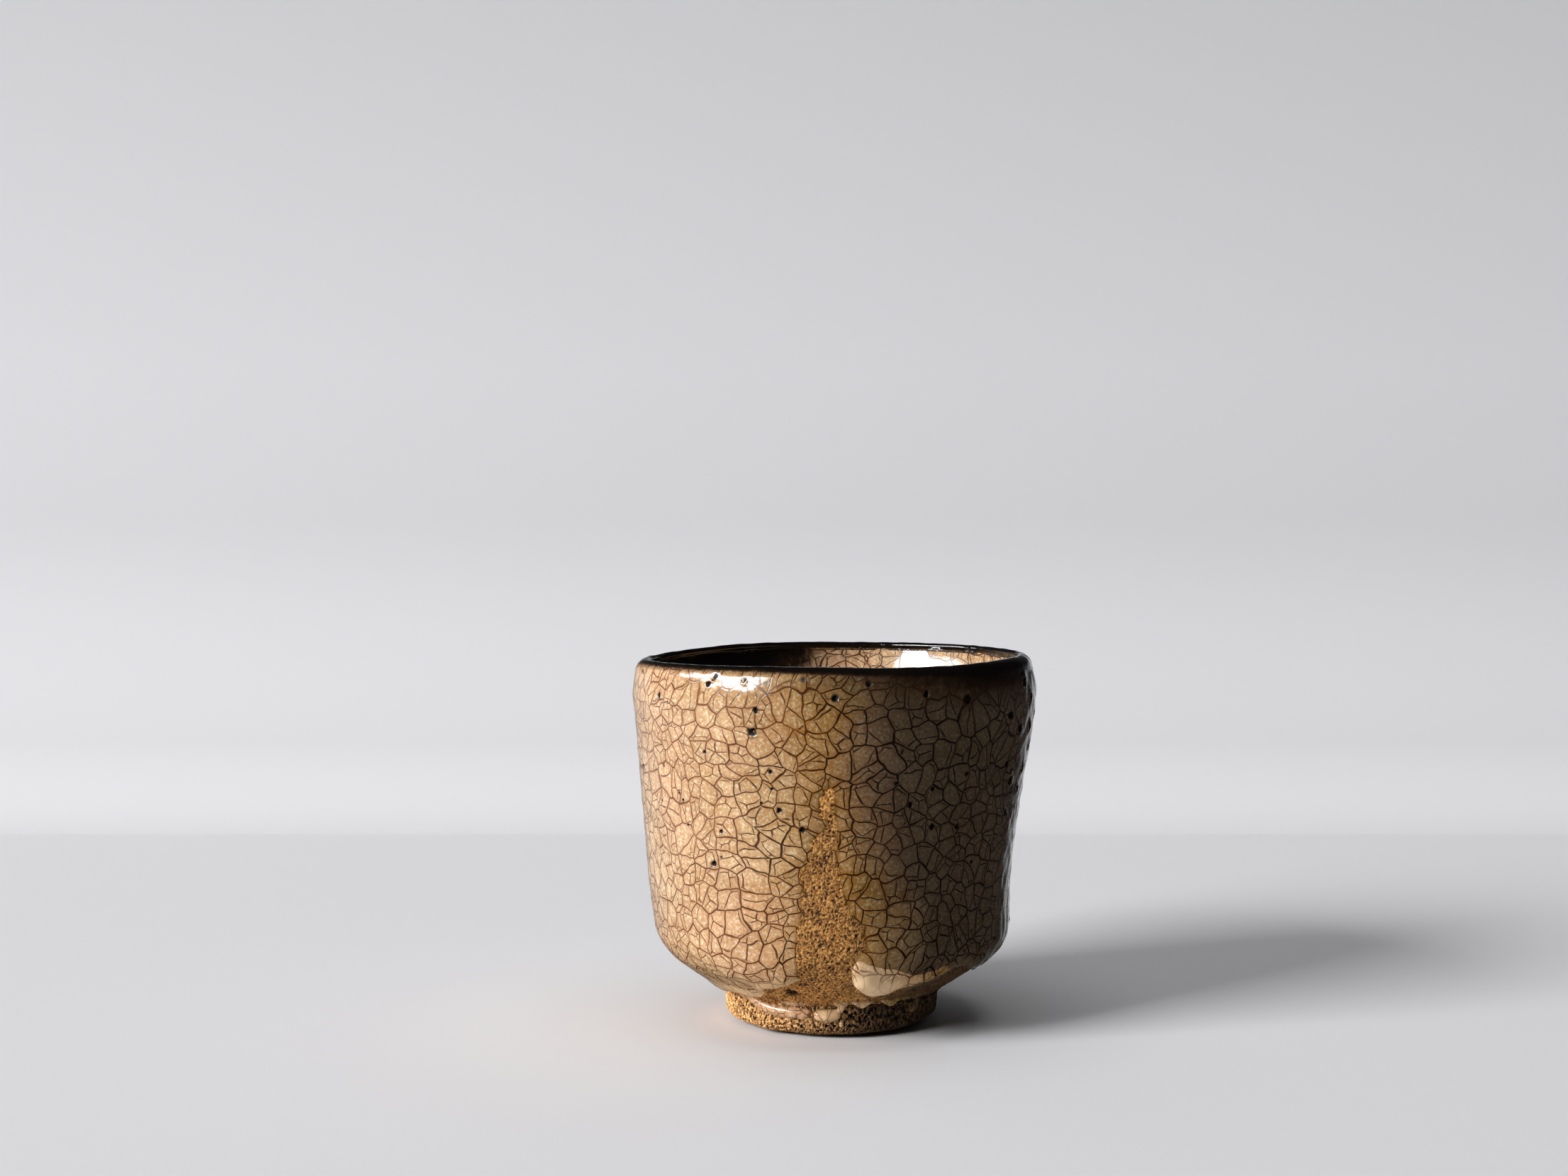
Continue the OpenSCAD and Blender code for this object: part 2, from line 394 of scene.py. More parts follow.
def crazedGlaze(name, **changes):
    look = {**glazeLook, **changes}
    colour = {key: hexColour(value) for key, value in look.items() if str(value).startswith("#")}
    material, tree, shader, add = newMaterial(name)
    place = add("TexCoord", out="Object")
    inMm = add("VectorMath", {0: place, "Scale": 1 / mm}, operation="SCALE")
    axes = add("SeparateXYZ", (inMm,), out=None)
    # the wall is unrolled about the axis, and the cut at the back wanders and is drawn as a crack
    toFront = add("Math", (axes[1], -1.0), operation="MULTIPLY")
    turn = add("Math", (axes[0], toFront), operation="ARCTAN2")
    sway = add("TexNoise", {"W": axes[2], "Scale": 1 / 13, "Detail": 1.0}, noise_dimensions="1D")
    bent = add("Math", (sway, look["seamSway"], turn), operation="MULTIPLY_ADD")
    wrapped = add("Math", (bent, math.pi, -math.pi), operation="WRAP")
    angle = add("Math", (sway, -look["seamSway"], wrapped), operation="MULTIPLY_ADD")
    around = add("Math", (angle, look["patternRadius"]), operation="MULTIPLY")
    reach = add("Math", (wrapped,), operation="ABSOLUTE")
    short = add("Math", (math.pi, reach), operation="SUBTRACT")
    seam = add("Math", (short, look["patternRadius"]), operation="MULTIPLY")
    arc = axes[2] if look["byHeight"] else add("Attribute", attribute_name="arc", out="Fac")
    unrolled = add("CombineXYZ", (around, arc))
    if look["floorRadius"]:
        flat = add("CombineXYZ", (axes[0], axes[1]))
        span = add("VectorMath", (flat,), operation="LENGTH", out="Value")
        wobble = add("TexNoise", {"Vector": inMm, "Scale": 1 / 9, "Detail": 1.0})
        edge = add("Math", (wobble, 9.0, span), operation="MULTIPLY_ADD")
        past = add("Math", (edge, look["floorRadius"]), operation="SUBTRACT")
        onWall = add("Math", (past, 0.0), operation="GREATER_THAN")
        unrolled = add("Mix", {0: onWall, 4: flat, 5: unrolled}, data_type="VECTOR", out=1)
        ring = add("Math", (past,), operation="ABSOLUTE")
        floorSeam = add("Math", (onWall, 1e3, ring), operation="MULTIPLY_ADD")
        wallSeam = add("Math", (seam, ring), operation="MINIMUM")
        seam = add("Mix", {0: onWall, 2: floorSeam, 3: wallSeam})
    where = unrolled
    for size, reach, detail in look["wander"]:
        bend = add("TexNoise", {"Vector": inMm, "Scale": 1 / size, "Detail": detail}, out=1)
        where = add("VectorMath", (bend, (reach, reach, 0.0), where), operation="MULTIPLY_ADD")
    unevenness = add("TexNoise", {"Vector": inMm, "Scale": 1 / 4, "Detail": 2.0})
    widen = add("MapRange", (unevenness, 0.3, 0.7, 0.75, 1.25))
    lines = []
    gaps = []
    tints = []
    levels = zip(look["cells"], look["halfWidths"], look["strength"])
    for level, (cell, halfWidth, strength) in enumerate(levels):
        gap = add("TexVoronoi", {"Vector": where, "Scale": 1 / cell, "Randomness": look["randomness"]},
                  voronoi_dimensions="2D", feature="DISTANCE_TO_EDGE", out="Distance")
        gapMm = add("Math", (gap, cell), operation="MULTIPLY")
        if level == 0:
            gapMm = add("Math", (gapMm, seam), operation="MINIMUM")
        even = add("Math", (gapMm, widen), operation="DIVIDE")
        line = add("MapRange", (even, halfWidth * 0.35, halfWidth, strength, 0.0),
                   interpolation_type="SMOOTHSTEP")
        tint = add("TexVoronoi", {"Vector": where, "Scale": 1 / cell, "Randomness": look["randomness"]},
                   voronoi_dimensions="2D", out="Color")
        if level == 1:
            shares = add("SeparateColor", (tints[0],), out=1)
            split = add("Math", (shares, look["splitFrom"]), operation="GREATER_THAN")
            clear = add("MapRange", (gaps[0], 0.1, 0.85, 0.15, 1.0))
            kept = add("Math", (clear, split), operation="MULTIPLY")
            line = add("Math", (line, kept), operation="MULTIPLY")
        lines.append(line)
        gaps.append(gapMm)
        tints.append(tint)
        # every cell of this level cracks in its own way on the next one
        where = add("VectorMath", (tint, (61.0, 47.0, 0.0), where), operation="MULTIPLY_ADD")
    crack = add("Math", (lines[0], lines[1]), operation="MAXIMUM")
    # colour of the glaze between the cracks
    tone = add("TexNoise", {"Vector": inMm, "Scale": 1 / 13, "Detail": 4.0})
    warm = add("TexNoise", {"Vector": inMm, "Scale": 1 / 28, "Detail": 2.0, "W": 3.0}, noise_dimensions="4D")
    skin = layOver(add, colour["cream"], [
        (tone, (0.4, 0.68, 0.0, 0.8), colour["ochre"]),
        (warm, (0.42, 0.62, 0.0, 0.7), colour["blush"]),
    ])
    cellTone = add("SeparateColor", (tints[0],))
    cellLight = add("MapRange", {0: cellTone, 3: 0.9, 4: 1.07})
    skin = add("HueSaturation", {"Value": cellLight, "Color": skin})
    grit = add("TexNoise", {"Vector": inMm, "Scale": 1 / 0.7, "Detail": 1.5})
    skin = layOver(add, skin, [
        (grit, (0.53, 0.68, 0.0, 0.65), colour["speck"]),
        (grit, (0.45, 0.3, 0.0, 0.4), colour["thin"]),
        (gaps[0], (0.0, 1.1, 0.34, 0.0), colour["stain"]),
    ])
    # thin glaze shows the clay, thick glaze turns milky and hides the crazing
    thin = add("Attribute", attribute_name="thin", out="Fac")
    skin = add("Mix", {0: thin, 6: skin, 7: colour["thin"]}, data_type="RGBA", out=2)
    thick = add("Attribute", attribute_name="thick", out="Fac")
    milk = add("Math", (thick, look["thickness"]), operation="MAXIMUM")
    skin = add("Mix", {0: milk, 6: skin, 7: colour["thickCream"]}, data_type="RGBA", out=2)
    # crack lines are paler on the left and darker towards the right: painted shade over random tone
    lineTone = add("TexNoise", {"Vector": inMm, "Scale": 1 / 18, "Detail": 2.0, "W": 8.0},
                   noise_dimensions="4D")
    lineToneAndShade = add("Math", (axes[0], 0.006, lineTone), operation="MULTIPLY_ADD")
    lineShare = add("MapRange", (lineToneAndShade, 0.25, 0.55, 0.15, 1.0))
    lineColour = add("Mix", {0: lineShare, 6: colour["linePale"], 7: colour["lineDark"]},
                     data_type="RGBA", out=2)
    faint = add("MapRange", {0: milk, 3: 1.0, 4: 0.25})
    stained = add("Math", (crack, faint), operation="MULTIPLY")
    skin = add("Mix", {0: stained, 6: skin, 7: lineColour}, data_type="RGBA", out=2)
    # painted shade: the right side, away from the window, is darkened and made richer in colour, most of all
    # towards the rim, with a noisy edge
    shadeSide = add("Math", (warm, look["smokeDrift"], axes[0]), operation="MULTIPLY_ADD")
    upper = add("Math", (axes[2], look["smokeRise"], shadeSide), operation="MULTIPLY_ADD")
    smoked = add("MapRange", (upper, look["smokeFrom"], look["smokeTo"], 1.0, look["smoke"]))
    grey = add("MapRange", (smoked, 0.13, 0.4, 0.9, 1.14))
    pale = add("MapRange", (smoked, 0.45, 1.0, 1.0, 0.81))
    richer = add("Math", (grey, pale), operation="MULTIPLY")
    skin = add("HueSaturation", {"Hue": look["smokeHue"], "Value": smoked, "Saturation": richer, "Color": skin})
    # iron wash at the rim, broken up as it runs into the glaze; below it, painted shade as a dark wash on the
    # right outside and on the left inside
    iron = add("Attribute", attribute_name="iron", out="Fac")
    patchy = add("TexNoise", {"Vector": inMm, "Scale": 1 / 1.8, "Detail": 3.0})
    broken = add("Math", (patchy, 0.4, iron), operation="MULTIPLY_ADD")
    # pinholes: a brown ring of stain round each, and inside the hole painted shade, near black
    pit = add("Attribute", attribute_name="pit", out="Fac")
    skin = layOver(add, skin, [
        (broken, (0.3, 0.95), colour["ironBrown"]),
        (broken, (0.75, 1.1), colour["ironBlack"]),
        (pit, (0.3, 1.0, 0.0, 0.6), colour["lineDark"]),
        (pit, (0.9, 1.15), colour["pit"]),
    ])
    tree.links.new(skin, shader.inputs["Base Color"])
    # gloss, a little duller along the stained cracks
    smear = add("TexNoise", {"Vector": inMm, "Scale": 1 / 6, "Detail": 3.0})
    dull = add("Math", (stained, 0.12, look["roughness"] - 0.04), operation="MULTIPLY_ADD")
    rough = add("Math", (smear, 0.1, dull), operation="MULTIPLY_ADD")
    hollow = add("MapRange", (pit, 0.9, 1.15))
    rough = add("Math", (hollow, 0.6, rough), operation="MULTIPLY_ADD")
    tree.links.new(rough, shader.inputs["Roughness"])
    shader.inputs["IOR"].default_value = 1.5
    peel = add("TexNoise", {"Vector": inMm, "Scale": 1 / 2.4, "Detail": 2.0})
    groove = add("Math", (stained, -0.35, peel), operation="MULTIPLY_ADD")
    bump = add("Bump", {"Strength": 0.14, "Distance": 0.0002, "Height": groove})
    tree.links.new(bump, shader.inputs["Normal"])
    return material


# Coarse stoneware clay, trimmed with a tool that drags the grit: a dull, grainy golden brown
def gritClay(name, dark, middle, light, grainSize, roughness, smoke):  # smoke: from and to in mm, and how light it is at both, darker towards the right
    material, tree, shader, add = newMaterial(name)
    place = add("TexCoord", out="Object")
    inMm = add("VectorMath", {0: place, "Scale": 1 / mm}, operation="SCALE")
    # colour follows the grit's height: darker in the hollows and lighter on the ridges, partly the clay's own
    # grain and partly painted shade and painted highlight
    grain = add("Attribute", attribute_name="grain", out="Fac")
    fine = add("TexNoise", {"Vector": inMm, "Scale": 1 / grainSize, "Detail": 3.0})
    mixed = add("Math", (fine, 1.6, grain), operation="MULTIPLY_ADD")
    body = layOver(add, hexColour(dark), [
        (mixed, (1.08, 1.36), hexColour(middle)),
        (mixed, (1.4, 1.68), hexColour(light)),
    ])
    patch = add("TexNoise", {"Vector": inMm, "Scale": 1 / 9, "Detail": 3.0})
    shade = add("MapRange", (patch, 0.3, 0.7, 0.8, 1.15))
    axes = add("SeparateXYZ", (inMm,), out=None)
    # painted light: the clay is made lighter towards the bottom, up to half again below 15 mm, as if lit from the
    # table
    paintedTableLight = add("MapRange", (axes[2], 22.0, 15.0, 1.0, 1.5))
    shade = add("Math", (shade, paintedTableLight), operation="MULTIPLY")
    # painted shade towards the right, away from the window; on the foot also painted light on the left
    smoked = add("MapRange", (axes[0], *smoke), interpolation_type="SMOOTHSTEP")
    value = add("Math", (shade, smoked), operation="MULTIPLY")
    body = add("HueSaturation", {"Value": value, "Color": body})
    # pits painted near black: painted shade in the torn hollows
    pit = add("Attribute", attribute_name="pit", out="Fac")
    body = add("Mix", {0: pit, 6: body, 7: hexColour("#120B06")}, data_type="RGBA", out=2)
    tree.links.new(body, shader.inputs["Base Color"])
    shine = add("MapRange", {0: fine, 3: roughness - 0.08, 4: roughness + 0.08})
    tree.links.new(shine, shader.inputs["Roughness"])
    shader.inputs["IOR"].default_value = 1.45
    bump = add("Bump", {"Strength": 0.8, "Distance": 0.0003, "Height": fine})
    tree.links.new(bump, shader.inputs["Normal"])
    return material


# Where the glaze ends: heights of the lower edge by angle, and angles of the clay window by height
glazeEdge = {
    "lower": [
        (-180, 12), (-170, 12.5), (-155, 11), (-140, 12), (-125, 10), (-105, 9.4), (-85, 9.2), (-70, 9.4),
        (-58, 10.2), (-49, 11.2), (-40, 10.6), (-35, 11), (-32, 12), (-30.5, 14.4), (-24, 15.2), (-18, 16.4),
        (-13, 18.2), (0, 18), (6, 18), (8.3, 17), (13, 15.6), (18, 15.2), (24, 15.2), (33, 15.4), (36, 16.2),
        (40.6, 18.9), (44, 19.7), (50, 19.5), (58, 17.5), (70, 15.5), (85, 14), (100, 15), (115, 13),
        (130, 14.5), (145, 12), (160, 13.5), (175, 11.5), (180, 12),
    ],
    "windowLeft": [
        (0, -12.5), (20, -12.5), (29.6, -11.8), (33.2, -11.5), (34.5, -10.6), (43, -9.8), (47.9, -10.2),
        (49, -8.9), (51.6, -6.9), (54.8, -7), (58.4, -3), (60.1, -2.2), (61.5, -4.4), (65.1, -5.1),
        (67.2, -3.2), (68.3, -2),
    ],
    "windowRight": [
        (0, 6), (19.8, 5.2), (24.2, 5.5), (25.5, 5.9), (27.1, 8.2), (31.7, 7.5), (34.1, 6.5), (36.1, 4.4),
        (40.6, 1.9), (44.2, 0.8), (48, 0.2), (50, -1), (53.1, -0.2), (58.8, -0.8), (65, -1), (67.4, -1.2),
        (68.3, -2),
    ],
    "windowTop": 68.3,
    "windowTip": -2.0,
    "wander": 0.4,
    "wanderSize": 2.2,
}
lowerEdge = curveThrough(glazeEdge["lower"])
windowLeft = curveThrough(glazeEdge["windowLeft"])
windowRight = curveThrough(glazeEdge["windowRight"])


def glazeCover(angle, z):  # how far inside the glaze, above its lower edge and beside the window a point lies
    r = wallRadius(z)
    across = r * angle
    wander = noise.noise(Vector((across, z, 4.0)) / glazeEdge["wanderSize"]) * glazeEdge["wander"]
    above = wallArc(z) - wallArc(lowerEdge(math.degrees(angle))) + wander
    if z > glazeEdge["windowTop"]:
        beside = math.hypot(across - r * math.radians(glazeEdge["windowTip"]), z - glazeEdge["windowTop"])
    else:
        beside = max(r * math.radians(windowLeft(z)) - across, across - r * math.radians(windowRight(z)))
    beside += wander
    return min(above, beside), above, beside


# Pinholes: angle in degrees from the front, height and radius in mm
pinholes = [
    (-23.1, 82.1, 1.0), (-16.1, 62.7, 0.63), (-9.6, 58, 0.72), (-21.9, 87.5, 0.63), (-38.9, 76.4, 0.45),
    (-18.3, 72.3, 0.54), (-18.1, 68, 0.36), (-21.2, 64.3, 0.36), (-60, 62, 0.36), (-50, 65, 0.36),
    (-48.6, 63.3, 0.36), (-63.8, 56.7, 0.36), (-47, 57, 0.36), (-34.5, 56.4, 0.45), (-57, 71.5, 0.36),
    (-53, 88.5, 0.3), (-35.3, 95.2, 0.72), (-37, 93.4, 0.72), (-26, 94.6, 0.54), (-9, 95, 0.54),
    (-57.4, 89.7, 0.63), (-0.7, 90.5, 0.72), (8.4, 94.2, 0.72), (24.2, 91.4, 0.81), (37, 89.5, 1.08),
    (65, 91.7, 1.05), (70, 87.6, 1.1), (62.6, 80.6, 1.15), (71.6, 80.2, 1.0), (55.8, 84.3, 0.9),
    (57.3, 71.7, 0.7), (61.6, 67, 1.15), (69, 64.2, 0.95), (71, 69.4, 0.8), (70, 59.5, 0.7),
    (61.3, 58.6, 0.95), (66, 57.4, 0.7), (74, 93.5, 0.7), (76, 74.5, 0.9), (60.5, 69.8, 0.7),
    (38.5, 70.8, 0.54), (27.4, 67.6, 0.54), (27.8, 58, 0.72), (36.8, 57.5, 0.63), (20.6, 64, 0.63),
    (44, 47.7, 0.45), (16.4, 69.5, 0.45), (-35, 49.8, 0.36), (-37.7, 47.9, 0.72),
]
scattered = {"seed": 11, "count": 70, "angles": (78, 290), "heights": (26, 92),
             "radii": (0.3, 0.36, 0.45, 0.54, 0.63, 0.81)}  # sides and back, where the photograph doesn't reach
pinholeRandom = random.Random(scattered["seed"])
for _ in range(scattered["count"]):
    pinholes.append((pinholeRandom.uniform(*scattered["angles"]), pinholeRandom.uniform(*scattered["heights"]),
                     pinholeRandom.choice(scattered["radii"])))
pinholeShape = {
    "leastRadius": 0.36,
    "spread": 1.05,
    "depth": 0.62,
    "fullRadius": 0.5,  # holes of this radius have that depth
    "deepest": 1.4,  # times that depth
    "lip": 0.16,
    "lipAt": 1.3,
    "lipReach": 0.45,
    "rough": 0.5,
    "roughSize": 0.9,
    "search": 2.2,
}
pinholeTree = kdtree.KDTree(len(pinholes))
for index, (degrees, height, _) in enumerate(pinholes):
    pinholeTree.insert(onRing(math.radians(degrees), wallRadius(height), height), index)
pinholeTree.balance()


def pinholeAt(co):  # push along the normal, and how dark it is
    push = 0.0
    dark = 0.0
    for _, index, distance in pinholeTree.find_range(co, pinholeShape["search"]):
        radius = max(pinholes[index][2], pinholeShape["leastRadius"]) * pinholeShape["spread"]
        share = distance / radius * (1 + pinholeShape["rough"] * noise.noise(co / pinholeShape["roughSize"]))
        dark = max(dark, 2 - share)
        if share < 1:
            times = min(radius / pinholeShape["fullRadius"], pinholeShape["deepest"])
            push -= pinholeShape["depth"] * times * (1 - share ** 2)
        push += pinholeShape["lip"] * radius * bell(share - pinholeShape["lipAt"], pinholeShape["lipReach"])
    return push, dark


# Outer glaze: a skin over the outside of the clay, open at the window and rounded along its edges
outerGlaze = {
    "spacing": 1.0,
    "lowest": 8.0,
    "top": bowl["lipHeight"] - 2.6,
    "coat": 0.8,
    "sunk": 0.45,  # how far the edge dips under the clay
    "edgeRound": 1.7,
    "feather": 3.6,  # width over which the glaze thins out beside the window
    "thinnest": 0.32,
    "bareFrom": -1.4,  # faces further than this outside the edge are left out
    "wall": 0.95,
    "swell": 0.05,
    "sideSwell": 0.24,  # more on the right
    "sideAt": (82, 30),  # angle and spread
    "swellSize": 2.8,
    "pushFrom": 1.5,  # width of the edge over which swell and pinholes come in
    "edgeSlope": 0.7,
    "windowSlope": 1.2,
    "rollAt": 2.4,
    "rollReach": 2.3,
    "fineAt": 0.3,  # faces this far inside the edge, give or take, are drawn finer
    "fineReach": 1.6,
    "edgeCuts": 1,
    "holeCuts": 3,
    "holeReach": (1.7, 0.3),  # times the radius, and more
    "blotchSize": 5.0,
    "milkFull": 1.25,
    "milkLeast": 0.7,
    "milkMore": 0.6,
    "thinMost": 0.75,
    "thinLeast": 0.6,
    "thinMore": 1.6,
    "rolls": [(-180, 0.5), (-120, 0.5), (-75, 0.4), (-40, 0.4), (-22, 0.3), (0, 0.2), (13, 0.4), (30, 0.4),
              (45, 0.2), (58, 0.0), (90, 0.0), (115, 0.3), (150, 0.7), (180, 0.5)],
    "milk": [(-180, 4.0), (-120, 6.0), (-70, 8.5), (-45, 7.5), (-25, 5.0), (-10, 2.0), (5, 2.0), (14, 6.0),
             (32, 4.5), (48, 3.5), (80, 5.0), (130, 4.0), (180, 4.0)],
}
rollHeight = curveThrough(outerGlaze["rolls"])
milkReach = curveThrough(outerGlaze["milk"])
ironBand = {  # depth of the dark rim by angle, mm below the crest, how it fades, and the paler wash below it, which is partly painted shade on the right outside and on the left inside
    "outside": {
        "line": curveThrough([(-180, 0.2), (-110, -0.2), (-60, -0.2), (-30, -0.1), (-8, 0.3), (8, 0.6), (20, 0.9),
                              (45, 1.4), (80, 1.3), (110, 0.6), (130, 0.0), (180, 0.2)]),
        "fade": 2.2,
        "washAndShade": curveThrough([(-180, 0.15), (-70, 0.0), (-40, 0.06), (-22, 0.2), (0, 0.47), (25, 0.74),
                              (45, 0.95), (80, 0.95), (110, 0.5), (180, 0.15)]),
        "washAndShadeDrop": 15.0,
    },
    "inside": {
        "line": curveThrough([(-180, 0.1), (-130, 0.6), (-90, 1.8), (-40, 1.2), (20, 0.4), (110, -0.1),
                              (180, 0.1)]),
        "fade": 1.2,
        "washAndShade": curveThrough([(-180, 0.45), (-168, 0.9), (-150, 1.15), (-90, 1.2), (-45, 0.9), (10, 0.5),
                              (70, 0.15), (115, 0.0), (150, 0.1), (168, 0.25), (180, 0.45)]),
        "washAndShadeDrop": 22.0,
    },
}


def ironAt(side, angle, z):
    band = ironBand[side]
    drop = bowl["lipHeight"] - z
    line = 1 - ease((drop - band["line"](math.degrees(angle))) / band["fade"])
    return max(line, band["washAndShade"](math.degrees(angle)) * (1 - ease(drop / band["washAndShadeDrop"])))


def glazeDepth(angle, above, beside):
    if above <= 0:
        return max(above * outerGlaze["edgeSlope"], -outerGlaze["sunk"])
    if beside <= 0:
        return max(outerGlaze["thinnest"] + beside * outerGlaze["windowSlope"], -outerGlaze["sunk"])
    rise = min(above / outerGlaze["edgeRound"], 1.0)
    body = outerGlaze["coat"] * math.sqrt(1 - (1 - rise) ** 2)
    atRoll = bell(above - outerGlaze["rollAt"], outerGlaze["rollReach"])
    roll = rollHeight(math.degrees(angle)) * atRoll * ease(rise)
    thinnest = outerGlaze["thinnest"] / outerGlaze["coat"]
    return (body + roll) * (thinnest + (1 - thinnest) * ease(beside / outerGlaze["feather"]))


def outsidePiece(low, high):
    between = [p for p in outside if low < p.y < high]
    return [Vector((wallRadius(low), low)), *between, Vector((wallRadius(high), high))]


def makeOuterGlaze(material):
    bm = spinPath(evenPath(outsidePiece(outerGlaze["lowest"], outerGlaze["top"]), outerGlaze["spacing"]),
                  bowl["steps"])
    turnFaces(bm, False)
    covers = {}
    for face in bm.faces:
        centre = face.calc_center_median()
        covers[face] = glazeCover(angleOf(centre), centre.z)[0]
    bare = [face for face, cover in covers.items() if cover < outerGlaze["bareFrom"]]
    bmesh.ops.delete(bm, geom=bare, context="FACES")
    near = [face for face in bm.faces if abs(covers[face] - outerGlaze["fineAt"]) < outerGlaze["fineReach"]]
    refine(bm, near, outerGlaze["edgeCuts"])
    times, more = outerGlaze["holeReach"]
    holes = []
    for face in bm.faces:
        _, index, distance = pinholeTree.find(face.calc_center_median())
        if distance < pinholes[index][2] * times + more:
            holes.append(face)
    refine(bm, holes, outerGlaze["holeCuts"])
    layers = addLayers(bm, "arc", "thick", "thin", "iron", "pit")
    side, spread = outerGlaze["sideAt"]
    depths = []
    for vert in bm.verts:
        angle = angleOf(vert.co)
        z = vert.co.z
        cover, above, beside = glazeCover(angle, z)
        push, dark = pinholeAt(vert.co)
        depth = glazeDepth(angle, above, beside)
        swell = outerGlaze["swell"] + outerGlaze["sideSwell"] * bell(turnBetween(angle, side), spread)
        push += swell * noise.noise(vert.co / outerGlaze["swellSize"])
        depths.append(depth + push * ease(cover / outerGlaze["pushFrom"]))
        blotch = 0.5 + 0.5 * noise.noise(vert.co / outerGlaze["blotchSize"])
        milkWidth = milkReach(math.degrees(angle)) * (outerGlaze["milkLeast"] + outerGlaze["milkMore"] * blotch)
        thinWidth = outerGlaze["thinLeast"] + outerGlaze["thinMore"] * blotch
        vert[layers["arc"]] = wallArc(z)
        vert[layers["thick"]] = ease(outerGlaze["milkFull"] - above / milkWidth)
        vert[layers["thin"]] = outerGlaze["thinMost"] * (1 - ease(beside / thinWidth))
        vert[layers["iron"]] = ironAt("outside", angle, z)
        vert[layers["pit"]] = dark
    shapeAndPush(bm, depths)
    return finishPiece(bm, "outerGlaze", "outer_glaze", material, outerGlaze["wall"])


# Rim glaze: the iron-washed skin over the lip
rimGlaze = {"spacing": 0.5, "outsideDrop": 3.2, "insideDrop": 1.7, "coat": 0.82, "wall": 0.9, "swell": 0.14,
            "swellSize": 4.0, "swellOver": 2.0}


def makeRimGlaze(material):
    low = bowl["lipHeight"] - rimGlaze["outsideDrop"]
    lowInside = bowl["lipHeight"] - rimGlaze["insideDrop"]
    path = [p for p in outside if p.y >= low] + [p for p in inside[1:] if p.y >= lowInside]
    bm = spinPath(evenPath(path, rimGlaze["spacing"]), bowl["steps"])
    upper = max(bm.faces, key=lambda f: f.calc_center_median().z)
    if upper.normal.z < 0:
        bmesh.ops.reverse_faces(bm, faces=bm.faces)
    layers = addLayers(bm, "arc", "iron", "pit")
    lipMiddle = bowl["rimRadius"] - bowl["lipThickness"] / 2
    depths = []
    for vert in bm.verts:
        angle = angleOf(vert.co)
        span = math.hypot(vert.co.x, vert.co.y)
        outer = span > lipMiddle
        push, dark = pinholeAt(vert.co)
        swell = rimGlaze["swell"] * noise.noise(vert.co / rimGlaze["swellSize"])
        depths.append(rimGlaze["coat"] + swell * ease((vert.co.z - low) / rimGlaze["swellOver"]) + push)
        vert[layers["arc"]] = wallArc(vert.co.z) + (0 if outer else 2 * (bowl["lipHeight"] - vert.co.z))
        vert[layers["iron"]] = ironAt("outside" if outer else "inside", angle, vert.co.z)
        vert[layers["pit"]] = dark
    shapeAndPush(bm, depths)
    return finishPiece(bm, "rimGlaze", "rim_glaze", material, rimGlaze["wall"])


# Inner glaze: the lining from the rim down to the tea pool
innerGlaze = {"spacing": 1.2, "topDrop": 1.2, "coat": 0.7, "wall": 0.8, "swell": 0.25, "swellSize": 9.0,
              "floorReach": 6, "poolMilk": 0.75, "poolInside": 4, "poolOver": 8}


def makeInnerGlaze(material):
    high = bowl["lipHeight"] - innerGlaze["topDrop"]
    path = evenPath([p for p in inside if p.y <= high], innerGlaze["spacing"])
    bm = spinPath(path, bowl["steps"])
    turnFaces(bm, True)
    layers = addLayers(bm, "arc", "iron", "thick")
    reach = curveThrough([(p.y, i * innerGlaze["spacing"]) for i, p in enumerate(path)][::-1])
    depths = []
    for vert in bm.verts:
        angle = angleOf(vert.co)
        span = math.hypot(vert.co.x, vert.co.y)
        depths.append(innerGlaze["coat"] + innerGlaze["swell"] * noise.noise(vert.co / innerGlaze["swellSize"]))
        vert[layers["arc"]] = reach(vert.co.z) + max(bowl["poolRadius"] + innerGlaze["floorReach"] - span, 0.0)
        vert[layers["iron"]] = ironAt("inside", angle, vert.co.z)
        inPool = bowl["poolRadius"] - innerGlaze["poolInside"] - span
        vert[layers["thick"]] = innerGlaze["poolMilk"] * ease(inPool / innerGlaze["poolOver"])
    shapeAndPush(bm, depths)
    return finishPiece(bm, "innerGlaze", "inner_glaze", material, innerGlaze["wall"])


# Clay body: smooth where glaze covers it, coarse and gritty where it is bare
clayBody = {
    "spacing": 2.4,
    "steps": 126,
    "bareTo": 2.0,
    "cuts": 8,
    "baseCuts": 4,
    "grit": 0.3,
    "gritSize": 0.66,
    "gritStretch": 0.65,
    "wormCut": 2.4,  # how sharply the worm-like ridges fall off
    "wormShare": 0.7,
    "fineSize": 0.36,
    "fineShift": Vector((7, 3, 1)),
    "fineShare": 0.4,
    "gritBase": 0.2,
    "gritTone": 0.4,
    "lumpTone": 0.1,
    "tone": 0.5,
    "proud": 0.3,  # the window lies nearly level with the glaze round it
    "lumps": 0.14,
    "lumpSize": 3.2,
    "sunk": 0.05,
    "openOver": 1.2,  # width of the glaze's edge over which the grit fades
    "proudOver": 0.8,
    "proudFrom": 17,
    "proudRise": 5,
}
tornHole = {"spots": ((-20, 12.0, 1.5), (-19, 13.2, 2.0), (-17.4, 12.4, 1.3)),  # angle, height and reach
            "depth": 1.3, "rough": 0.7, "roughSize": 0.8, "darkTimes": 1.6, "darkFrom": 0.4}
hollows = [(onRing(math.radians(degrees), wallRadius(z), z), reach) for degrees, z, reach in tornHole["spots"]]


